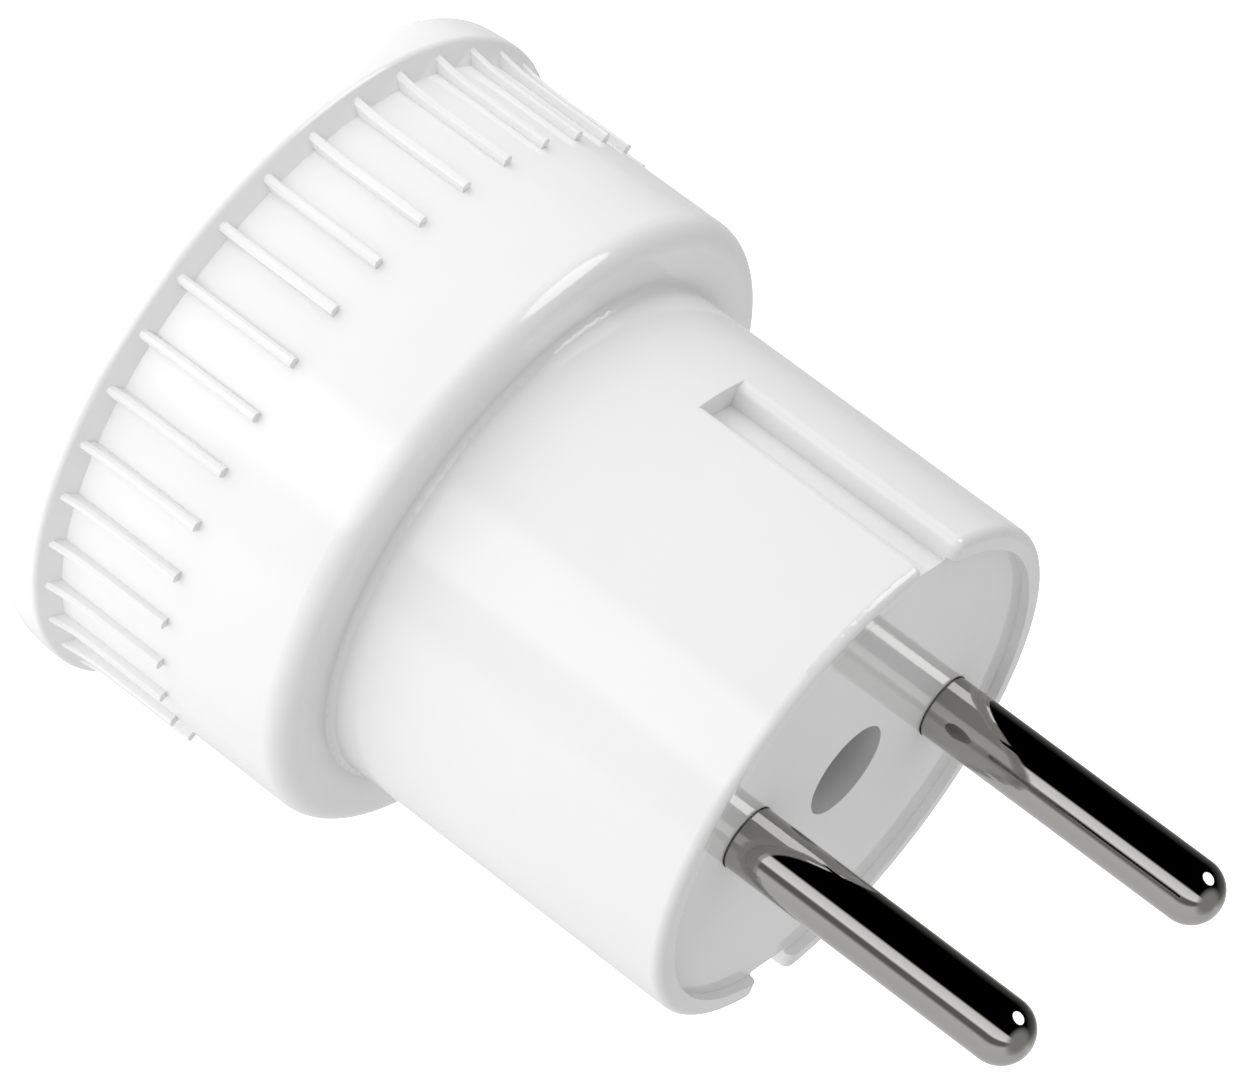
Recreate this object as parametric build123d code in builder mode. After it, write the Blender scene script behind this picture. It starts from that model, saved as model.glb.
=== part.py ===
from build123d import *
from math import sqrt
import os

os.makedirs("parts", exist_ok=True)

# A white round mains adapter. It stands on its socket face, at z = 0, with its two pins up along +Z.
# The pins lie on the X axis and the two earth-clip grooves of the plug body on the Y axis.
# All sizes are in millimetres.

# Plug pins, the unearthed European pattern
PIN_SPACING = 19.0
PIN_DIAMETER = 4.0
PIN_LENGTH = 19.5  # beyond the rim of the plug body
PIN_ROOT_DIAMETER = 5.0  # shoulder that stops the pin from pulling out
PIN_LIP = 0.6  # plastic in front of that shoulder
PIN_RELIEF_DEPTH = 0.2  # turned relief next to the shoulder
PIN_RELIEF_REACH = 0.12  # the relief ends this far out of the plug's face
PIN_SPIGOT_DIAMETER = 2.2
PIN_HEAD_DIAMETER = 3.2  # the spigot's end, peened over the strip
PIN_HEAD_HEIGHT = 0.5

# Outside of the moulded housing
HEAD_LENGTH = 20.5  # socket face to shoulder
PLUG_LENGTH = 24.35  # shoulder to rim
PLUG_DIAMETER = 33.3
ROOT_FILLET = 0.4  # where the plug body meets the shoulder
SHOULDER_FLAT = 2.18  # flat ring between that fillet and the shoulder's rounding
SHOULDER_ROUND = 1.45
FLANGE_HEIGHT = 1.32  # above the band
FLANGE_TAPER = 0.3  # the flange's front edge is this much nearer to the axis
FLANGE_THICKNESS = 2.85  # socket face to the widest part of the flange
FLANGE_BACK_LENGTH = 0.9  # sloped back of the flange, down to the band
FLANGE_CROWN = 0.1  # bulge of the flange's side
FLANGE_FRONT_ROUND = 0.9
FLANGE_BACK_ROUND = 0.45
RIM_ROUND = 0.6
RIM_WIDTH = 1.35
FACE_INSET = 0.6  # the plug's end face lies below its rim

# Grip ribs, which run up the back of the flange
RIB_COUNT = 36
RIB_WIDTH = 0.62
RIB_HEIGHT = 0.55
RIB_LENGTH = 8.7  # from the widest part of the flange towards the shoulder
RIB_RAMP_LENGTH = 3.4
RIB_RAMP_DROP = 0.45  # the ramp ends this far below the flange's widest part
RIB_CHAMFER = 0.16

# Earth-clip grooves
GROOVE_WIDTH = 3.3
GROOVE_DEPTH = 1.7
GROOVE_LENGTH = 16.0
GROOVE_ROUND = 0.55

# Inside of the housing
BAND_WALL = 2.2
PLUG_WALL = 2.25
SHOULDER_WALL = 1.6
END_WALL = 2.65
GROOVE_WALL = 1.3
MOUTH_WALL = 1.85  # at the flange's front edge
KEY_WIDTH = 2.0
KEY_REACH = 1.0
KEY_LENGTH = 4.7

# Socket plate
PLATE_THICKNESS = 3.0
PLATE_RECESS = 0.3
SKIRT_WALL = 1.5
SKIRT_LENGTH = 3.0
SOCKET_SPACING = PIN_SPACING
SOCKET_ROW_INSET = 17.3  # the plug body is this much wider than the spacing of the socket rows
SOCKET_ROW_SPACING = PLUG_DIAMETER - SOCKET_ROW_INSET
SOCKET_DIAMETER = 5.4
SOCKET_LEAD_IN = 0.5
POST_DIAMETER = 4.4

# Contacts
STRIP_THICKNESS = 0.8
STRIP_WIDTH = 7.6
STRIP_BEND = 0.5
RISER_WIDTH = 5.0
SLEEVE_DIAMETER = 5.6
SLEEVE_BORE = 4.1
SLEEVE_SLOT_WIDTH = 0.8
SLEEVE_SLOT_LENGTH = 11.0
SLEEVE_LEAD_IN = 0.4
SLEEVE_TO_PLATE = 1.3
SLEEVE_NECK_DIAMETER = 4.9  # goes through the strip
SLEEVE_HEAD_DIAMETER = 5.6  # the neck's end, rolled over the strip
SLEEVE_HEAD_HEIGHT = 0.5

# The one screw, put in from the plug's end face
SCREW_DIAMETER = 3.0
SCREW_LENGTH = 16.0
SCREW_TIP = 1.5
SCREW_HEAD_DIAMETER = 5.6
SCREW_HEAD_HEIGHT = 2.2
SCREW_HEAD_CHAMFER = 0.7
SCREW_CROSS_WIDTH = 0.8
SCREW_CROSS_LENGTH = 3.2
SCREW_CROSS_DEPTH = 1.1
SCREW_HOLE_DIAMETER = 6.0
SCREW_TUBE_WALL = 1.6
SCREW_TUBE_LENGTH = 18.2
SCREW_SEAT = 2.0
BOSS_DIAMETER = 8.0
PILOT_SPARE = 1.5  # pilot hole beyond the screw's tip

# Clearances on the radius
SLIDE_CLEARANCE = 0.1
SNUG_CLEARANCE = 0.03
LOOSE_CLEARANCE = 0.2
FOLD_CLEARANCE = 0.3

# Heights and radii that follow from the sizes above
PIN_X = PIN_SPACING / 2
PIN_RADIUS = PIN_DIAMETER / 2
SHOULDER_Z = HEAD_LENGTH
RIM_Z = SHOULDER_Z + PLUG_LENGTH
FACE_Z = RIM_Z - FACE_INSET
END_WALL_Z = FACE_Z - END_WALL
TIP_Z = RIM_Z + PIN_LENGTH
LEDGE_Z = SHOULDER_Z - SHOULDER_WALL
PLUG_RADIUS = PLUG_DIAMETER / 2
BAND_RADIUS = PLUG_RADIUS + ROOT_FILLET + SHOULDER_FLAT + SHOULDER_ROUND
FLANGE_RADIUS = BAND_RADIUS + FLANGE_HEIGHT
FLANGE_FRONT_RADIUS = FLANGE_RADIUS - FLANGE_TAPER
RIM_INNER_RADIUS = PLUG_RADIUS - RIM_WIDTH
MOUTH_RADIUS = FLANGE_FRONT_RADIUS - MOUTH_WALL
CAVITY_RADIUS = BAND_RADIUS - BAND_WALL
PLUG_CAVITY_RADIUS = PLUG_RADIUS - PLUG_WALL
SEAT_Z = PLATE_RECESS + PLATE_THICKNESS
RIB_RADIUS = BAND_RADIUS + RIB_HEIGHT
GROOVE_FLOOR_Y = PLUG_RADIUS - GROOVE_DEPTH
STRIP_Z = LEDGE_Z - STRIP_THICKNESS
TUBE_END_Z = END_WALL_Z - SCREW_TUBE_LENGTH
SCREW_SEAT_Z = TUBE_END_Z + SCREW_SEAT
SLEEVE_FRONT_Z = SEAT_Z + SLEEVE_TO_PLATE
SOCKET_X = SOCKET_SPACING / 2
SOCKET_Y = SOCKET_ROW_SPACING / 2
STRIP_OUTER_X = PIN_X + STRIP_WIDTH / 2
STRIP_END_Y = sqrt((CAVITY_RADIUS - FOLD_CLEARANCE) ** 2 - STRIP_OUTER_X**2)
RISER_OUTER_X = sqrt((PLUG_CAVITY_RADIUS - FOLD_CLEARANCE) ** 2 - (RISER_WIDTH / 2) ** 2)
RISER_X = RISER_OUTER_X - STRIP_THICKNESS


# One grip rib: a thin fin with a straight crest and a hollow ramp up the flange
with BuildPart() as rib:
    crest_end = FLANGE_THICKNESS + RIB_LENGTH
    ramp_start = FLANGE_THICKNESS + RIB_RAMP_LENGTH
    ramp_top = FLANGE_RADIUS - RIB_RAMP_DROP
    foot = BAND_RADIUS - RIB_HEIGHT
    with BuildSketch(Plane.XZ):
        with BuildLine():
            straight = Polyline(
                (ramp_top, FLANGE_THICKNESS),
                (foot, FLANGE_THICKNESS),
                (foot, crest_end),
                (RIB_RADIUS, crest_end),
                (RIB_RADIUS, ramp_start),
            )
            TangentArc(straight @ 1, straight @ 0, tangent=(0, -1))
        make_face()
    extrude(amount=RIB_WIDTH / 2, both=True)
    crest = rib.edges().filter_by(Axis.Z).sort_by(Axis.X)[-2:]
    chamfer(crest, RIB_CHAMFER)


# Housing: flange, ribbed band, shoulder and plug body moulded in one piece
with BuildPart() as housing:
    # outer form, turned
    with BuildSketch(Plane.XZ) as outer:
        with BuildLine():
            front = Line((0, 0), (FLANGE_FRONT_RADIUS, 0))
            flange_side = SagittaArc(
                front @ 1, (FLANGE_RADIUS, FLANGE_THICKNESS), -FLANGE_CROWN
            )
            Polyline(
                flange_side @ 1,
                (BAND_RADIUS, FLANGE_THICKNESS + FLANGE_BACK_LENGTH),
                (BAND_RADIUS, SHOULDER_Z),
                (PLUG_RADIUS, SHOULDER_Z),
                (PLUG_RADIUS, RIM_Z),
                (0, RIM_Z),
                front @ 0,
            )
        make_face()
        for radius, height, rounding in (
            (FLANGE_FRONT_RADIUS, 0, FLANGE_FRONT_ROUND),
            (FLANGE_RADIUS, FLANGE_THICKNESS, FLANGE_BACK_ROUND),
            (BAND_RADIUS, SHOULDER_Z, SHOULDER_ROUND),
            (PLUG_RADIUS, SHOULDER_Z, ROOT_FILLET),
            (PLUG_RADIUS, RIM_Z, RIM_ROUND),
        ):
            corner = outer.vertices().sort_by_distance((radius, height, 0))[0]
            fillet(corner, rounding)
    revolve(axis=Axis.Z)
    # mouth for the socket plate, wide head cavity and narrower plug cavity
    with BuildSketch(Plane.XZ):
        with BuildLine():
            Polyline(
                (0, 0),
                (MOUTH_RADIUS, 0),
                (MOUTH_RADIUS, SEAT_Z),
                (CAVITY_RADIUS, SEAT_Z),
                (CAVITY_RADIUS, LEDGE_Z),
                (PLUG_CAVITY_RADIUS, LEDGE_Z),
                (PLUG_CAVITY_RADIUS, END_WALL_Z),
                (0, END_WALL_Z),
                close=True,
            )
        make_face()
    revolve(axis=Axis.Z, mode=Mode.SUBTRACT)
    # plug face, set in below the rim
    with BuildSketch(Plane.XY.offset(FACE_Z)):
        Circle(RIM_INNER_RADIUS)
    extrude(amount=FACE_INSET, mode=Mode.SUBTRACT)
    # thicker wall behind each groove
    with BuildSketch(Plane.XY.offset(RIM_Z - GROOVE_LENGTH - GROOVE_WALL)):
        with PolarLocations(GROOVE_FLOOR_Y - GROOVE_WALL, 2, start_angle=90):
            Rectangle(
                PLUG_RADIUS - PLUG_CAVITY_RADIUS,
                GROOVE_WIDTH + 2 * GROOVE_WALL,
                align=(Align.MIN, Align.CENTER),
            )
    extrude(amount=GROOVE_LENGTH + GROOVE_WALL - FACE_INSET - END_WALL / 2)
    # grooves, open at the rim
    with BuildSketch(Plane.XY.offset(RIM_Z)):
        with PolarLocations(GROOVE_FLOOR_Y, 2, start_angle=90):
            Rectangle(
                2 * GROOVE_DEPTH,
                GROOVE_WIDTH,
                align=(Align.MIN, Align.CENTER),
            )
    extrude(amount=-GROOVE_LENGTH, mode=Mode.SUBTRACT)
    groove_edges = (
        housing.edges()
        .filter_by(Axis.Z)
        .filter_by(lambda edge: abs(abs(edge.center().X) - GROOVE_WIDTH / 2) < SNUG_CLEARANCE)
        .filter_by(lambda edge: abs(edge.center().Y) > GROOVE_FLOOR_Y + GROOVE_DEPTH / 2)
    )
    fillet(groove_edges, min(GROOVE_ROUND, FACE_INSET - SNUG_CLEARANCE))
    # tube for the screw, its seat and the hole that the screw is put in through
    with BuildSketch(Plane.XY.offset(TUBE_END_Z)):
        Circle(SCREW_HOLE_DIAMETER / 2 + SCREW_TUBE_WALL)
    extrude(amount=SCREW_TUBE_LENGTH + END_WALL / 2)
    with Locations((0, 0, FACE_Z)):
        CounterBoreHole(
            radius=SCREW_DIAMETER / 2 + LOOSE_CLEARANCE,
            counter_bore_radius=SCREW_HOLE_DIAMETER / 2,
            counter_bore_depth=FACE_Z - SCREW_SEAT_Z,
            depth=FACE_Z - TUBE_END_Z,
        )
    # stepped holes for the pins
    with Locations((PIN_X, 0, END_WALL_Z), (-PIN_X, 0, END_WALL_Z)):
        with Locations(Rotation(180, 0, 0)):
            CounterBoreHole(
                radius=PIN_RADIUS + SNUG_CLEARANCE,
                counter_bore_radius=PIN_ROOT_DIAMETER / 2 + SNUG_CLEARANCE,
                counter_bore_depth=END_WALL - PIN_LIP,
                depth=END_WALL,
            )
    # key that stops the socket plate from turning
    with BuildSketch(Plane.XY.offset(SEAT_Z)):
        with Locations((0, CAVITY_RADIUS - KEY_REACH)):
            Rectangle(KEY_WIDTH, KEY_REACH + BAND_WALL / 2, align=(Align.CENTER, Align.MIN))
    extrude(amount=KEY_LENGTH)
    # pockets for the sleeves' rolled ends
    with BuildSketch(Plane.XY.offset(LEDGE_Z)):
        with GridLocations(SOCKET_SPACING, SOCKET_ROW_SPACING, 2, 2):
            Circle(SLEEVE_HEAD_DIAMETER / 2 + LOOSE_CLEARANCE)
    extrude(amount=SLEEVE_HEAD_HEIGHT + LOOSE_CLEARANCE, mode=Mode.SUBTRACT)
    # grip ribs
    with PolarLocations(0, RIB_COUNT):
        add(rib.part)
    housing.part.label = "housing"
export_step(housing.part, "parts/housing.step")


# Socket plate: two pairs of socket holes, a skirt that centres it, posts and the screw boss
with BuildPart() as socket_plate:
    with BuildSketch(Plane.XY.offset(PLATE_RECESS)):
        Circle(MOUTH_RADIUS - SLIDE_CLEARANCE)
    extrude(amount=PLATE_THICKNESS)
    skirt_radius = CAVITY_RADIUS - SLIDE_CLEARANCE
    with BuildSketch(Plane.XY.offset(SEAT_Z)):
        Circle(skirt_radius)
        Circle(skirt_radius - SKIRT_WALL, mode=Mode.SUBTRACT)
        with Locations((0, skirt_radius)):
            Rectangle(
                KEY_WIDTH + 2 * SLIDE_CLEARANCE,
                4 * SKIRT_WALL,
                mode=Mode.SUBTRACT,
            )
    extrude(amount=SKIRT_LENGTH)
    with BuildSketch(Plane.XY.offset(SEAT_Z)):
        with Locations((PIN_X, 0), (-PIN_X, 0)):
            Circle(POST_DIAMETER / 2)
    extrude(amount=STRIP_Z - SEAT_Z)
    with BuildSketch(Plane.XY.offset(SEAT_Z)):
        Circle(BOSS_DIAMETER / 2)
    extrude(amount=TUBE_END_Z - SEAT_Z)
    pilot_depth = SCREW_LENGTH - SCREW_SEAT + PILOT_SPARE
    with Locations((0, 0, TUBE_END_Z)):
        Hole(SCREW_DIAMETER / 2 + SNUG_CLEARANCE, depth=pilot_depth)
    with BuildSketch(Plane.XY.offset(PLATE_RECESS)):
        with GridLocations(SOCKET_SPACING, SOCKET_ROW_SPACING, 2, 2):
            Circle(SOCKET_DIAMETER / 2)
    extrude(amount=PLATE_THICKNESS, mode=Mode.SUBTRACT)
    mouths = (
        socket_plate.edges()
        .filter_by(GeomType.CIRCLE)
        .filter_by(lambda edge: abs(edge.radius - SOCKET_DIAMETER / 2) < SNUG_CLEARANCE)
        .group_by(Axis.Z)[0]
    )
    chamfer(mouths, SOCKET_LEAD_IN)
    socket_plate.part.label = "socket_plate"
export_step(socket_plate.part, "parts/socket_plate.step")


def upright_plane(x, y):
    """The plane of a turned part's profile, with its axis standing at x, y."""
    return Plane(origin=(x, y, 0), x_dir=(1, 0, 0), z_dir=(0, -1, 0))


def make_pin(label, side):
    """A turned pin: round-ended blade, shoulder in the end wall, spigot peened over the strip."""
    tab_z = END_WALL_Z - STRIP_THICKNESS
    head_z = tab_z - PIN_HEAD_HEIGHT
    shoulder_z = FACE_Z - PIN_LIP
    relief_z = FACE_Z + PIN_RELIEF_REACH
    with BuildPart() as pin:
        with BuildSketch(upright_plane(side * PIN_X, 0)):
            with BuildLine():
                lower = Polyline(
                    (0, TIP_Z),
                    (0, head_z),
                    (PIN_HEAD_DIAMETER / 2, head_z),
                    (PIN_HEAD_DIAMETER / 2, tab_z),
                    (PIN_SPIGOT_DIAMETER / 2, tab_z),
                    (PIN_SPIGOT_DIAMETER / 2, END_WALL_Z),
                    (PIN_ROOT_DIAMETER / 2, END_WALL_Z),
                    (PIN_ROOT_DIAMETER / 2, shoulder_z),
                    (PIN_RADIUS - PIN_RELIEF_DEPTH, shoulder_z),
                    (PIN_RADIUS - PIN_RELIEF_DEPTH, relief_z),
                    (PIN_RADIUS, relief_z),
                    (PIN_RADIUS, TIP_Z - PIN_RADIUS),
                )
                RadiusArc(lower @ 1, lower @ 0, -PIN_RADIUS)
            make_face()
        revolve(axis=Axis((side * PIN_X, 0, 0), (0, 0, 1)))
        pin.part.label = label
    export_step(pin.part, f"parts/{label}.step")


def make_strip(label, side):
    """A stamped strip: bar across both sockets, riser up into the plug body and a tab under the pin."""
    inner_x = PIN_X - STRIP_WIDTH / 2
    tab_z = END_WALL_Z - STRIP_THICKNESS
    with BuildPart() as strip:
        # folded section: foot, riser and tab
        with BuildSketch(Plane.XZ):
            with BuildLine():
                Polyline(
                    (inner_x, STRIP_Z),
                    (RISER_OUTER_X, STRIP_Z),
                    (RISER_OUTER_X, END_WALL_Z),
                    (inner_x, END_WALL_Z),
                    (inner_x, tab_z),
                    (RISER_X, tab_z),
                    (RISER_X, LEDGE_Z),
                    (inner_x, LEDGE_Z),
                    close=True,
                )
            make_face()
        extrude(amount=RISER_WIDTH / 2, both=True)
        folds = strip.edges().filter_by(Axis.Y)
        fillet(folds.group_by(Axis.X)[-1], STRIP_BEND + STRIP_THICKNESS)
        inner_folds = strip.edges().filter_by(Axis.Y).filter_by_position(
            Axis.X, RISER_X - STRIP_BEND / 2, RISER_X + STRIP_BEND / 2
        )
        fillet(inner_folds, STRIP_BEND)
        # bar
        with BuildSketch(Plane.XY.offset(STRIP_Z)):
            with Locations((PIN_X, 0)):
                Rectangle(STRIP_WIDTH, 2 * STRIP_END_Y)
        extrude(amount=STRIP_THICKNESS)
        with Locations((PIN_X, 0, END_WALL_Z)):
            Hole(PIN_SPIGOT_DIAMETER / 2 + SNUG_CLEARANCE, depth=STRIP_THICKNESS)
        with Locations((SOCKET_X, SOCKET_Y, LEDGE_Z), (SOCKET_X, -SOCKET_Y, LEDGE_Z)):
            Hole(SLEEVE_NECK_DIAMETER / 2 + SNUG_CLEARANCE, depth=STRIP_THICKNESS)
        if side < 0:
            mirror(about=Plane.YZ, mode=Mode.REPLACE)
        strip.part.label = label
    export_step(strip.part, f"parts/{label}.step")


def make_sleeve(label, x, y):
    """A turned and slotted spring sleeve, open at both ends and rolled over the strip."""
    head_z = LEDGE_Z + SLEEVE_HEAD_HEIGHT
    with BuildPart() as sleeve:
        with BuildSketch(upright_plane(x, y)):
            with BuildLine():
                Polyline(
                    (SLEEVE_BORE / 2, head_z),
                    (SLEEVE_BORE / 2, SLEEVE_FRONT_Z + SLEEVE_LEAD_IN),
                    (SLEEVE_BORE / 2 + SLEEVE_LEAD_IN, SLEEVE_FRONT_Z),
                    (SLEEVE_DIAMETER / 2, SLEEVE_FRONT_Z),
                    (SLEEVE_DIAMETER / 2, STRIP_Z),
                    (SLEEVE_NECK_DIAMETER / 2, STRIP_Z),
                    (SLEEVE_NECK_DIAMETER / 2, LEDGE_Z),
                    (SLEEVE_HEAD_DIAMETER / 2, LEDGE_Z),
                    (SLEEVE_HEAD_DIAMETER / 2, head_z),
                    close=True,
                )
            make_face()
        revolve(axis=Axis((x, y, 0), (0, 0, 1)))
        with BuildSketch(Plane.XY.offset(SLEEVE_FRONT_Z)):
            with Locations((x, y)):
                Rectangle(SLEEVE_SLOT_WIDTH, 2 * SLEEVE_DIAMETER)
        extrude(amount=SLEEVE_SLOT_LENGTH, mode=Mode.SUBTRACT)
        sleeve.part.label = label
    export_step(sleeve.part, f"parts/{label}.step")


for pole, side in (("line", 1), ("neutral", -1)):
    make_pin(f"pin_{pole}", side)
    make_strip(f"strip_{pole}", side)
    make_sleeve(f"sleeve_{pole}_upper", side * SOCKET_X, SOCKET_Y)
    make_sleeve(f"sleeve_{pole}_lower", side * SOCKET_X, -SOCKET_Y)


# Pan-head screw, drawn at its core without the thread
with BuildPart() as assembly_screw:
    tip_z = SCREW_SEAT_Z - SCREW_LENGTH
    head_top_z = SCREW_SEAT_Z + SCREW_HEAD_HEIGHT
    with BuildSketch(Plane.XZ):
        with BuildLine():
            Polyline(
                (0, tip_z),
                (SCREW_DIAMETER / 2, tip_z + SCREW_TIP),
                (SCREW_DIAMETER / 2, SCREW_SEAT_Z),
                (SCREW_HEAD_DIAMETER / 2, SCREW_SEAT_Z),
                (SCREW_HEAD_DIAMETER / 2, head_top_z),
                (0, head_top_z),
                close=True,
            )
        make_face()
    revolve(axis=Axis.Z)
    head_edge = assembly_screw.edges().filter_by(GeomType.CIRCLE).group_by(Axis.Z)[-1]
    chamfer(head_edge, SCREW_HEAD_CHAMFER)
    with BuildSketch(Plane.XY.offset(head_top_z)):
        Rectangle(SCREW_CROSS_LENGTH, SCREW_CROSS_WIDTH)
        Rectangle(SCREW_CROSS_WIDTH, SCREW_CROSS_LENGTH)
    extrude(amount=-SCREW_CROSS_DEPTH, mode=Mode.SUBTRACT)
    assembly_screw.part.label = "assembly_screw"
export_step(assembly_screw.part, "parts/assembly_screw.step")
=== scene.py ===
"""Finishes, light and camera for a round two-pin plug adapter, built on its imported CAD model."""

import math

import bpy
from bpy.props import FloatProperty, FloatVectorProperty, PointerProperty
from mathutils import Matrix, Vector

bl_info = {
    "name": "Round plug adapter",
    "version": (1, 0, 0),
    "blender": (4, 5, 0),
    "location": "View3D > Sidebar > Adapter",
    "description": "Gives a round two-pin plug adapter its finishes and a white table-top studio",
    "category": "Object",
}

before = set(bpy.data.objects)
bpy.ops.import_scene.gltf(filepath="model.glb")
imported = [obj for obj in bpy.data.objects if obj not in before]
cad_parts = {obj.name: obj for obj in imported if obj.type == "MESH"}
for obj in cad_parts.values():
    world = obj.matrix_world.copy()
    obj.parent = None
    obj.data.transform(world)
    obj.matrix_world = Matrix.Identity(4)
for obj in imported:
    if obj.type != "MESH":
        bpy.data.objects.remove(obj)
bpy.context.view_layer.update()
MM = 0.001
SENSOR_WIDTH_MM = 36.0
COLOUR = {"subtype": "COLOR", "size": 4, "min": 0, "max": 1}


def linear(hex_colour):
    """An sRGB hex colour as linear red, green, blue and alpha."""
    values = [int(hex_colour[i : i + 2], 16) / 255 for i in (0, 2, 4)]
    return [v / 12.92 if v <= 0.04045 else ((v + 0.055) / 1.055) ** 2.4 for v in values] + [1.0]


def toward(azimuth, elevation):
    """Unit vector from its angle round the adapter's axis and its angle above the table, in radians."""
    flat = math.cos(elevation)
    return Vector((flat * math.cos(azimuth), flat * math.sin(azimuth), math.sin(elevation)))


def add_node(tree, kind, inputs=None, **settings):
    """Adds a node, sets its own settings, and links or sets the named inputs."""
    node = tree.nodes.new(kind)
    for setting, value in settings.items():
        setattr(node, setting, value)
    for socket, value in (inputs or {}).items():
        if isinstance(value, bpy.types.NodeSocket):
            tree.links.new(value, node.inputs[socket])
        else:
            node.inputs[socket].default_value = value
    return node


def new_material(name):
    """An empty node material with its shader and output joined."""
    material = bpy.data.materials.new(name)
    material.use_nodes = True
    tree = material.node_tree
    tree.nodes.clear()
    shader = add_node(tree, "ShaderNodeBsdfPrincipled")
    add_node(tree, "ShaderNodeOutputMaterial", {"Surface": shader.outputs["BSDF"]})
    return material, tree, shader


def dress(names, material):
    """Puts one material on the named CAD nodes."""
    for name in names:
        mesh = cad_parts[name].data
        mesh.materials.clear()
        mesh.materials.append(material)


class AdapterFinish(bpy.types.PropertyGroup):
    """Colours and surface sizes of the adapter's materials."""

    plastic: FloatVectorProperty(
        name="Plastic",
        description="Colour of the white moulded housing",
        default=linear("F0F0F0"),
        **COLOUR,
    )
    plastic_shade: FloatVectorProperty(
        name="Plastic, flow marks",
        description="Colour of the faint flow marks in the moulding",
        default=linear("ECECEC"),
        **COLOUR,
    )
    # Painted shade: the grey put into the screw hole and into the corner at the plug's foot, where shade
    # falls.
    painted_shade: FloatVectorProperty(
        name="Painted shade",
        description="Colour of the dust in the screw hole and at the plug's foot",
        default=linear("D2D2D2"),
        **COLOUR,
    )
    edge_rounding: FloatProperty(
        name="Edge rounding",
        description="Small radius on the moulding's sharp edges",
        unit="LENGTH",
        min=0,
        default=0.06 * MM,
    )
    nickel: FloatVectorProperty(
        name="Nickel",
        description="Colour of the plated pins",
        default=linear("AAA9A6"),
        **COLOUR,
    )
    brass: FloatVectorProperty(
        name="Brass",
        description="Colour of the contact strips and sleeves",
        default=linear("D2B070"),
        **COLOUR,
    )
    zinc: FloatVectorProperty(
        name="Zinc",
        description="Colour of the plated screw",
        default=linear("B4B5B8"),
        **COLOUR,
    )


class AdapterStage(bpy.types.PropertyGroup):
    """Camera and light."""

    aim: FloatVectorProperty(
        name="Aim",
        description="Point in the middle of the picture",
        subtype="XYZ",
        unit="LENGTH",
        default=(2.71 * MM, -6.06 * MM, 27.64 * MM),
    )
    distance: FloatProperty(
        name="Distance",
        description="Camera to aim point",
        unit="LENGTH",
        min=0.1,
        default=0.43,
    )
    azimuth: FloatProperty(
        name="Azimuth",
        description="Direction of the camera round the adapter's axis",
        subtype="ANGLE",
        default=math.radians(-40.39),
    )
    elevation: FloatProperty(
        name="Elevation",
        description="Height of the camera above the table",
        subtype="ANGLE",
        default=math.radians(19.87),
    )
    roll: FloatProperty(
        name="Roll",
        description="Turn of the camera about its own line of sight",
        subtype="ANGLE",
        default=math.radians(126.71),
    )
    focal_length: FloatProperty(
        name="Focal length",
        description="Lens on a 36 mm wide sensor, in millimetres",
        min=1,
        default=222.6,
    )
    wall_light: FloatProperty(
        name="Wall light",
        description="Brightness of the tent's walls at the height of the table",
        min=0,
        default=0.82,
    )
    roof_light: FloatProperty(
        name="Roof light",
        description="Brightness of the tent's roof",
        min=0,
        default=0.42,
    )
    table_light: FloatProperty(
        name="Table light",
        description="Brightness of the lit table top away from its lamp",
        min=0,
        default=0.6,
    )
    lamp_light: FloatProperty(
        name="Lamp light",
        description="Added brightness of the table top over its lamp, below the adapter",
        min=0,
        default=0.45,
    )
    key_light: FloatProperty(
        name="Key light",
        description="Power of the large soft light beside the camera, in watts",
        min=0,
        default=0.85,
    )
    side_light: FloatProperty(
        name="Side light",
        description="Power of the soft light on the dark side of the tent, in watts",
        min=0,
        default=0.45,
    )
    spark: FloatProperty(
        name="Spark",
        description="Brightness of the round softbox that the pins' ends mirror",
        min=0,
        default=4.0,
    )


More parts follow.
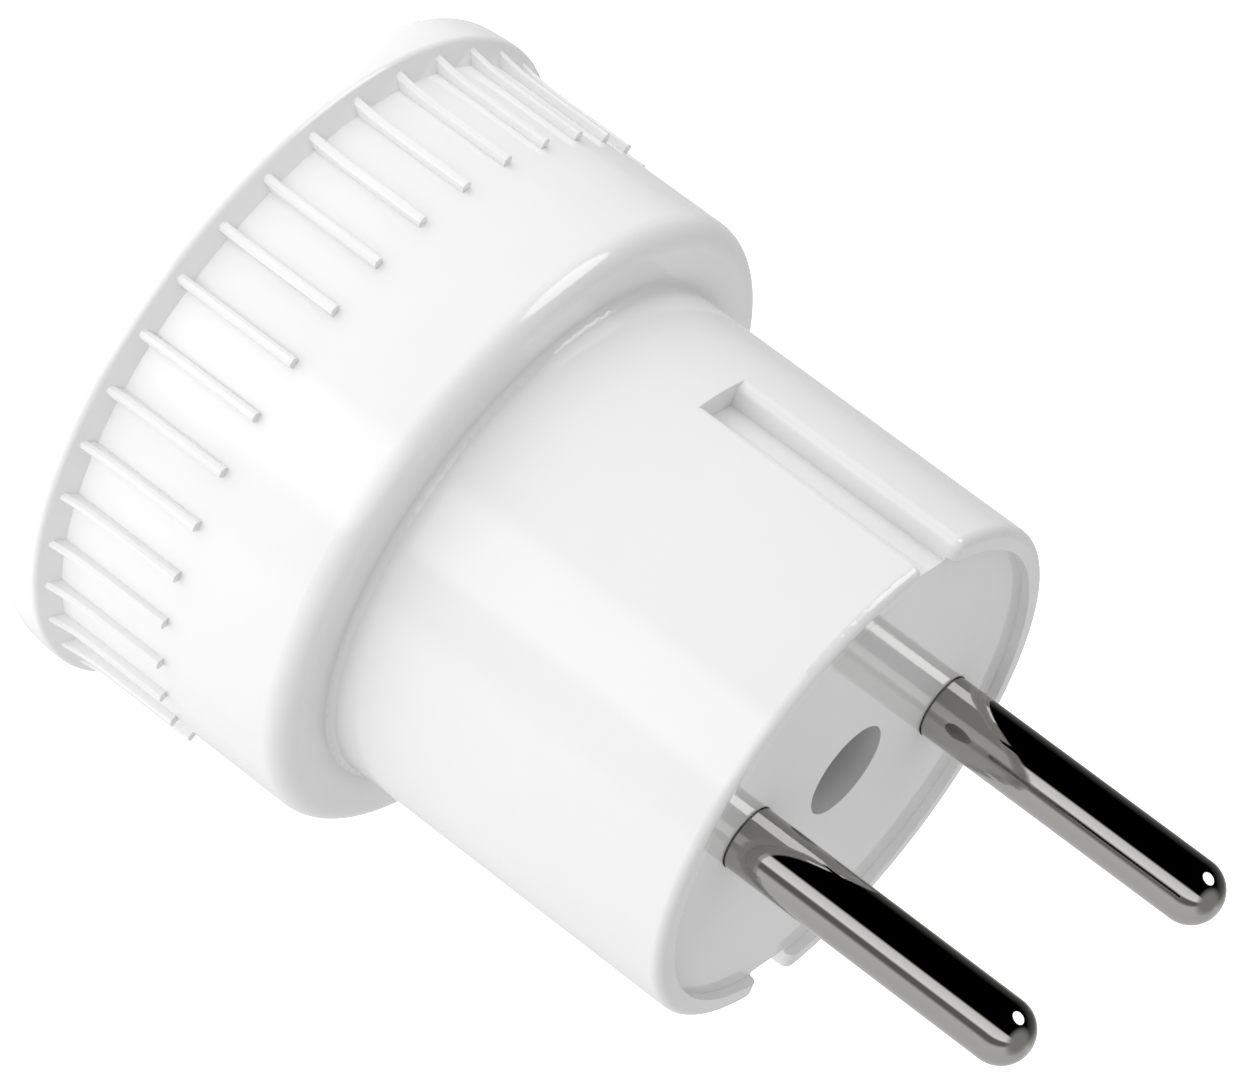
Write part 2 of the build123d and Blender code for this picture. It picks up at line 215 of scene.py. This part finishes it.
def painted_shade_share(tree, place):
    """How much painted shade the moulding gets: all of the screw hole, and the corner at the plug's foot
    by how closed in it is.
    """
    shoulder_height = 20.5 * MM
    corner_reach = 1.8 * MM
    corner_spread = 2.5 * MM
    shaded_below = 0.45
    unshaded_above = 0.8
    hole_edge = 3.03 * MM
    # Painted shade from ambient occlusion: where the moulding closes in at the plug's foot, it gets the
    # grey that shade would give.
    openness = add_node(
        tree,
        "ShaderNodeAmbientOcclusion",
        {"Distance": corner_reach},
        samples=6,
        only_local=True,
    )
    corner = add_node(
        tree,
        "ShaderNodeMapRange",
        {
            "Value": openness.outputs["AO"],
            "From Min": shaded_below,
            "From Max": unshaded_above,
            "To Min": 1.0,
            "To Max": 0.0,
        },
    )
    height = add_node(tree, "ShaderNodeSeparateXYZ", {"Vector": place}).outputs["Z"]
    near_shoulder = add_node(
        tree,
        "ShaderNodeMath",
        {0: height, 1: shoulder_height, 2: corner_spread},
        operation="COMPARE",
    )
    at_foot = add_node(
        tree,
        "ShaderNodeMath",
        {0: corner.outputs["Result"], 1: near_shoulder.outputs[0]},
        operation="MULTIPLY",
    )
    across = add_node(
        tree, "ShaderNodeVectorMath", {0: place, 1: (1.0, 1.0, 0.0)}, operation="MULTIPLY"
    )
    from_axis = add_node(
        tree, "ShaderNodeVectorMath", {0: across.outputs["Vector"]}, operation="LENGTH"
    )
    # The whole screw hole gets the same painted shade.
    near_axis = add_node(
        tree,
        "ShaderNodeMath",
        {0: from_axis.outputs["Value"], 1: hole_edge},
        operation="LESS_THAN",
    )
    in_plug = add_node(
        tree, "ShaderNodeMath", {0: height, 1: shoulder_height}, operation="GREATER_THAN"
    )
    in_hole = add_node(
        tree,
        "ShaderNodeMath",
        {0: near_axis.outputs[0], 1: in_plug.outputs[0]},
        operation="MULTIPLY",
    )
    shaded = add_node(
        tree,
        "ShaderNodeMath",
        {0: at_foot.outputs[0], 1: in_hole.outputs[0]},
        operation="MAXIMUM",
    )
    return shaded.outputs[0]


def moulded_abs(name, finish, roughness):
    """ABS, injection moulded against a polished mould: white and glossy, with a trace of orange peel.

    Flow marks shift its colour and its gloss a little. The screw hole and the corner at the plug's foot
    are painted a darker grey, as painted shade.
    """
    flow_mark = 7 * MM
    smoothest = 0.8 * roughness
    roughest = 1.25 * roughness
    peel = 0.9 * MM
    peel_height = 0.004 * MM
    material, tree, shader = new_material(name)
    place = add_node(tree, "ShaderNodeTexCoord").outputs["Object"]
    flow = add_node(
        tree,
        "ShaderNodeTexNoise",
        {"Vector": place, "Scale": 1 / flow_mark, "Detail": 3.0, "Roughness": 0.5},
    )
    tint = add_node(
        tree,
        "ShaderNodeMix",
        {"Factor": flow.outputs["Fac"], "A": finish.plastic, "B": finish.plastic_shade},
        data_type="RGBA",
    )
    # Painted shade: grey mixed into the colour in the screw hole and at the plug's foot.
    colour = add_node(
        tree,
        "ShaderNodeMix",
        {"Factor": painted_shade_share(tree, place), "A": tint.outputs["Result"], "B": finish.painted_shade},
        data_type="RGBA",
    )
    gloss = add_node(
        tree,
        "ShaderNodeMapRange",
        {"Value": flow.outputs["Fac"], "To Min": smoothest, "To Max": roughest},
    )
    peel_noise = add_node(
        tree, "ShaderNodeTexNoise", {"Vector": place, "Scale": 1 / peel, "Detail": 2.0}
    )
    rounded = add_node(tree, "ShaderNodeBevel", {"Radius": finish.edge_rounding}, samples=4)
    skin = add_node(
        tree,
        "ShaderNodeBump",
        {
            "Height": peel_noise.outputs["Fac"],
            "Distance": peel_height,
            "Strength": 1.0,
            "Normal": rounded.outputs["Normal"],
        },
    )
    tree.links.new(colour.outputs["Result"], shader.inputs["Base Color"])
    tree.links.new(gloss.outputs["Result"], shader.inputs["Roughness"])
    tree.links.new(skin.outputs["Normal"], shader.inputs["Normal"])
    shader.inputs["IOR"].default_value = 1.53
    return material


def polished_nickel(finish):
    """Nickel plate on turned brass, buffed: a mirror with faint rubbed patches.

    Its reflections waver along the pin. The relief at the pin's root, which no wheel reaches, stays dull.
    """
    relief_top = 44.38 * MM
    dull = 0.6
    rub = 2.5 * MM
    smoothest = 0.02
    roughest = 0.07
    wave = 2.2 * MM
    wave_stretch = 0.3
    wave_height = 0.006 * MM
    material, tree, shader = new_material("Nickel plate, turned and buffed")
    place = add_node(tree, "ShaderNodeTexCoord").outputs["Object"]
    rubbed = add_node(
        tree,
        "ShaderNodeTexNoise",
        {"Vector": place, "Scale": 1 / rub, "Detail": 4.0, "Roughness": 0.6},
    )
    gloss = add_node(
        tree,
        "ShaderNodeMapRange",
        {"Value": rubbed.outputs["Fac"], "To Min": smoothest, "To Max": roughest},
    )
    height = add_node(tree, "ShaderNodeSeparateXYZ", {"Vector": place}).outputs["Z"]
    in_relief = add_node(
        tree, "ShaderNodeMath", {0: height, 1: relief_top}, operation="LESS_THAN"
    )
    roughness = add_node(
        tree,
        "ShaderNodeMix",
        {"Factor": in_relief.outputs[0], "A": gloss.outputs["Result"], "B": dull},
        data_type="FLOAT",
    )
    along = add_node(
        tree, "ShaderNodeMapping", {"Vector": place, "Scale": (1.0, 1.0, wave_stretch)}
    )
    waves = add_node(
        tree,
        "ShaderNodeTexNoise",
        {"Vector": along.outputs["Vector"], "Scale": 1 / wave, "Detail": 1.0},
    )
    skin = add_node(
        tree,
        "ShaderNodeBump",
        {"Height": waves.outputs["Fac"], "Distance": wave_height, "Strength": 1.0},
    )
    tree.links.new(roughness.outputs["Result"], shader.inputs["Roughness"])
    tree.links.new(skin.outputs["Normal"], shader.inputs["Normal"])
    shader.inputs["Base Color"].default_value = finish.nickel
    shader.inputs["Metallic"].default_value = 1.0
    return material


def worked_metal(name, colour, grain, roughness):
    """Sheet or bar metal as it leaves the press: satin, with a fine grain that spreads the highlights."""
    smoothest = 0.7 * roughness
    roughest = 1.3 * roughness
    grain_height = 0.002 * MM
    material, tree, shader = new_material(name)
    place = add_node(tree, "ShaderNodeTexCoord").outputs["Object"]
    drawn = add_node(
        tree,
        "ShaderNodeTexNoise",
        {"Vector": place, "Scale": 1 / grain, "Detail": 5.0, "Roughness": 0.65},
    )
    gloss = add_node(
        tree,
        "ShaderNodeMapRange",
        {"Value": drawn.outputs["Fac"], "To Min": smoothest, "To Max": roughest},
    )
    skin = add_node(
        tree,
        "ShaderNodeBump",
        {"Height": drawn.outputs["Fac"], "Distance": grain_height, "Strength": 1.0},
    )
    tree.links.new(gloss.outputs["Result"], shader.inputs["Roughness"])
    tree.links.new(skin.outputs["Normal"], shader.inputs["Normal"])
    shader.inputs["Base Color"].default_value = colour
    shader.inputs["Metallic"].default_value = 1.0
    return material


class ADAPTER_OT_dress_housing(bpy.types.Operator):
    """White gloss plastic on the housing"""

    bl_idname = "adapter.dress_housing"
    bl_label = "Dress housing"

    def execute(self, context):
        finish = context.scene.adapter_finish
        dress(["housing"], moulded_abs("ABS, moulded gloss white", finish, roughness=0.07))
        return {"FINISHED"}


class ADAPTER_OT_dress_socket_plate(bpy.types.Operator):
    """White plastic, a little less glossy, on the socket plate"""

    bl_idname = "adapter.dress_socket_plate"
    bl_label = "Dress socket plate"

    def execute(self, context):
        finish = context.scene.adapter_finish
        dress(["socket_plate"], moulded_abs("ABS, moulded satin white", finish, roughness=0.24))
        return {"FINISHED"}


class ADAPTER_OT_dress_pins(bpy.types.Operator):
    """Bright nickel plate on both plug pins"""

    bl_idname = "adapter.dress_pins"
    bl_label = "Dress pins"

    def execute(self, context):
        dress(["pin_line", "pin_neutral"], polished_nickel(context.scene.adapter_finish))
        return {"FINISHED"}


class ADAPTER_OT_dress_contacts(bpy.types.Operator):
    """Brass on the contact strips and spring sleeves"""

    bl_idname = "adapter.dress_contacts"
    bl_label = "Dress contacts"

    def execute(self, context):
        colour = context.scene.adapter_finish.brass
        brass = worked_metal("Brass, stamped and turned", colour, grain=0.6 * MM, roughness=0.3)
        dress([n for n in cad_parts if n.startswith(("strip_", "sleeve_"))], brass)
        return {"FINISHED"}


class ADAPTER_OT_dress_screw(bpy.types.Operator):
    """Zinc plate on the assembly screw"""

    bl_idname = "adapter.dress_screw"
    bl_label = "Dress screw"

    def execute(self, context):
        colour = context.scene.adapter_finish.zinc
        zinc = worked_metal("Zinc plate on steel", colour, grain=0.4 * MM, roughness=0.35)
        dress(["assembly_screw"], zinc)
        return {"FINISHED"}


def add_camera(stage):
    """The photograph's viewpoint, as angles round the aim point."""
    back = toward(stage.azimuth, stage.elevation)
    data = bpy.data.cameras.new("Camera")
    data.sensor_fit = "HORIZONTAL"
    data.sensor_width = SENSOR_WIDTH_MM
    data.lens = stage.focal_length
    data.clip_start = 10 * MM
    camera = bpy.data.objects.new("Camera", data)
    place = Matrix.Translation(Vector(stage.aim) + back * stage.distance)
    level = back.to_track_quat("Z", "Y").to_matrix().to_4x4()
    turn = Matrix.Rotation(stage.roll, 4, "Z")
    camera.matrix_world = place @ level @ turn
    bpy.context.scene.collection.objects.link(camera)
    bpy.context.scene.camera = camera


def add_table(stage):
    """A white table top over a lamp, which carries the adapter and throws light up at it.

    The camera sees it as plain white. Its middle, which the adapter covers, gives less light. It is clear
    from below, so that the socket face can be seen.
    """
    reach = 3.0
    drop = 0.02 * MM
    footprint = 20.5 * MM
    footprint_edge = 21.5 * MM
    footprint_share = 0.5
    lamp_near = 35 * MM
    lamp_far = 110 * MM
    plain_white = 1.0
    mesh = bpy.data.meshes.new("Table")
    corners = [(-reach, -reach), (reach, -reach), (reach, reach), (-reach, reach)]
    mesh.from_pydata([(x, y, -drop) for x, y in corners], [], [(0, 1, 2, 3)])
    material, tree, shader = new_material("Acrylic, opal table top")
    shader.inputs["Base Color"].default_value = linear("F2F2F2")
    shader.inputs["Roughness"].default_value = 0.6
    shader.inputs["Specular IOR Level"].default_value = 0.0
    shader.inputs["Emission Color"].default_value = linear("FFFFFF")
    place = add_node(tree, "ShaderNodeTexCoord").outputs["Object"]
    from_middle = add_node(tree, "ShaderNodeVectorMath", {0: place}, operation="LENGTH")
    lamp = add_node(
        tree,
        "ShaderNodeMapRange",
        {
            "Value": from_middle.outputs["Value"],
            "From Min": lamp_near,
            "From Max": lamp_far,
            "To Min": stage.table_light + stage.lamp_light,
            "To Max": stage.table_light,
        },
        interpolation_type="SMOOTHSTEP",
    )
    covered = add_node(
        tree,
        "ShaderNodeMapRange",
        {
            "Value": from_middle.outputs["Value"],
            "From Min": footprint,
            "From Max": footprint_edge,
            "To Min": footprint_share,
            "To Max": 1.0,
        },
    )
    glow = add_node(
        tree,
        "ShaderNodeMath",
        {0: lamp.outputs["Result"], 1: covered.outputs["Result"]},
        operation="MULTIPLY",
    )
    ray = add_node(tree, "ShaderNodeLightPath")
    strength = add_node(
        tree,
        "ShaderNodeMix",
        {"Factor": ray.outputs["Is Camera Ray"], "A": glow.outputs[0], "B": plain_white},
        data_type="FLOAT",
    )
    tree.links.new(strength.outputs["Result"], shader.inputs["Emission Strength"])
    side = add_node(tree, "ShaderNodeNewGeometry")
    clear = add_node(tree, "ShaderNodeBsdfTransparent")
    one_sided = add_node(
        tree,
        "ShaderNodeMixShader",
        {"Fac": side.outputs["Backfacing"], 1: shader.outputs["BSDF"], 2: clear.outputs["BSDF"]},
    )
    tree.links.new(one_sided.outputs["Shader"], tree.nodes["Material Output"].inputs["Surface"])
    mesh.materials.append(material)
    table = bpy.data.objects.new("Table", mesh)
    bpy.context.scene.collection.objects.link(table)
    table.visible_glossy = False


def add_tent(stage):
    """A white light tent with soft, even light.

    What shines sees its panels instead, the black cloth hung on one side of them, and a round softbox.
    """
    # Degrees round the adapter's axis, and the brightness of the panels there
    wall_panels = (
        (-180, 0.15),
        (-165, 0.07),
        (-145, 0.0),
        (-42, 0.0),
        (-36, 1.25),
        (-10, 1.5),
        (-4, 0.22),
        (12, 0.22),
        (22, 0.9),
        (110, 0.8),
        (125, 0.75),
        (140, 0.85),
        (150, 0.6),
        (170, 0.2),
        (180, 0.15),
    )
    roof_panel = 0.42
    # Where the walls turn into the roof, as Z of the direction
    walls_end = 0.7
    roof_starts = 0.94
    softbox = toward(math.radians(-117), math.radians(24))
    softbox_radius = math.radians(17.1)
    softbox_edge = math.radians(19.4)
    world = bpy.data.worlds.new("Light tent")
    bpy.context.scene.world = world
    world.use_nodes = True
    tree = world.node_tree
    tree.nodes.clear()
    direction = add_node(tree, "ShaderNodeTexCoord").outputs["Generated"]
    parts = add_node(tree, "ShaderNodeSeparateXYZ", {"Vector": direction})
    round_angle = add_node(
        tree,
        "ShaderNodeMath",
        {0: parts.outputs["Y"], 1: parts.outputs["X"]},
        operation="ARCTAN2",
    )
    share = add_node(
        tree,
        "ShaderNodeMapRange",
        {"Value": round_angle.outputs[0], "From Min": -math.pi, "From Max": math.pi},
    )
    walls = add_node(tree, "ShaderNodeValToRGB", {"Fac": share.outputs["Result"]})
    ramp = walls.color_ramp
    while len(ramp.elements) < len(wall_panels):
        ramp.elements.new(0.5)
    for element, (angle, brightness) in zip(ramp.elements, wall_panels):
        element.position = (angle + 180) / 360
        element.color = (brightness, brightness, brightness, 1)
    overhead = add_node(
        tree,
        "ShaderNodeMapRange",
        {"Value": parts.outputs["Z"], "From Min": walls_end, "From Max": roof_starts},
        interpolation_type="SMOOTHSTEP",
    )
    panels = add_node(
        tree,
        "ShaderNodeMix",
        {
            "Factor": overhead.outputs["Result"],
            "A": walls.outputs["Color"],
            "B": (roof_panel,) * 3 + (1.0,),
        },
        data_type="RGBA",
    )
    to_softbox = add_node(
        tree, "ShaderNodeVectorMath", {0: direction, 1: softbox}, operation="DOT_PRODUCT"
    )
    in_softbox = add_node(
        tree,
        "ShaderNodeMapRange",
        {
            "Value": to_softbox.outputs["Value"],
            "From Min": math.cos(softbox_edge),
            "From Max": math.cos(softbox_radius),
        },
    )
    mirrored = add_node(
        tree,
        "ShaderNodeMix",
        {
            "Factor": in_softbox.outputs["Result"],
            "A": panels.outputs["Result"],
            "B": (stage.spark,) * 3 + (1.0,),
        },
        data_type="RGBA",
    )
    soft = add_node(
        tree,
        "ShaderNodeMapRange",
        {"Value": parts.outputs["Z"], "To Min": stage.wall_light, "To Max": stage.roof_light},
    )
    ray = add_node(tree, "ShaderNodeLightPath")
    light = add_node(
        tree,
        "ShaderNodeMix",
        {
            "Factor": ray.outputs["Is Glossy Ray"],
            "A": soft.outputs["Result"],
            "B": mirrored.outputs["Result"],
        },
        data_type="RGBA",
    )
    background = add_node(tree, "ShaderNodeBackground", {"Color": light.outputs["Result"]})
    add_node(tree, "ShaderNodeOutputWorld", {"Surface": background.outputs["Background"]})


def add_softbox(name, power, azimuth, elevation):
    """A square soft light that faces the adapter and isn't mirrored in it, placed by angles in degrees."""
    distance = 0.9
    side = 0.5
    data = bpy.data.lights.new(name, "AREA")
    data.size = side
    data.energy = power
    light = bpy.data.objects.new(name, data)
    back = toward(math.radians(azimuth), math.radians(elevation))
    facing = back.to_track_quat("Z", "Y").to_matrix().to_4x4()
    light.matrix_world = Matrix.Translation(back * distance) @ facing
    light.visible_glossy = False
    bpy.context.scene.collection.objects.link(light)


class ADAPTER_OT_set_stage(bpy.types.Operator):
    """Camera, lit table top, light tent and two soft lights"""

    bl_idname = "adapter.set_stage"
    bl_label = "Set stage"

    def execute(self, context):
        stage = context.scene.adapter_stage
        add_camera(stage)
        add_table(stage)
        add_tent(stage)
        add_softbox("Key light", stage.key_light, azimuth=-15, elevation=20)
        add_softbox("Side light", stage.side_light, azimuth=-108, elevation=27)
        context.scene.view_settings.view_transform = "Standard"
        return {"FINISHED"}


class ADAPTER_PT_panel(bpy.types.Panel):
    """Lists the adapter's finishes and its studio"""

    bl_label = "Adapter"
    bl_idname = "ADAPTER_PT_panel"
    bl_space_type = "VIEW_3D"
    bl_region_type = "UI"
    bl_category = "Adapter"

    def draw(self, context):
        for operator in OPERATORS:
            self.layout.operator(operator.bl_idname)
        for group in (context.scene.adapter_finish, context.scene.adapter_stage):
            box = self.layout.box()
            for name in group.__annotations__:
                box.prop(group, name)


OPERATORS = (
    ADAPTER_OT_dress_housing,
    ADAPTER_OT_dress_socket_plate,
    ADAPTER_OT_dress_pins,
    ADAPTER_OT_dress_contacts,
    ADAPTER_OT_dress_screw,
    ADAPTER_OT_set_stage,
)
CLASSES = (AdapterFinish, AdapterStage, *OPERATORS, ADAPTER_PT_panel)


def register():
    for cls in CLASSES:
        bpy.utils.register_class(cls)
    bpy.types.Scene.adapter_finish = PointerProperty(type=AdapterFinish)
    bpy.types.Scene.adapter_stage = PointerProperty(type=AdapterStage)


def unregister():
    del bpy.types.Scene.adapter_stage
    del bpy.types.Scene.adapter_finish
    for cls in reversed(CLASSES):
        bpy.utils.unregister_class(cls)


def main():
    register()
    bpy.ops.adapter.dress_housing()
    bpy.ops.adapter.dress_socket_plate()
    bpy.ops.adapter.dress_pins()
    bpy.ops.adapter.dress_contacts()
    bpy.ops.adapter.dress_screw()
    bpy.ops.adapter.set_stage()


if __name__ == "__main__":
    main()
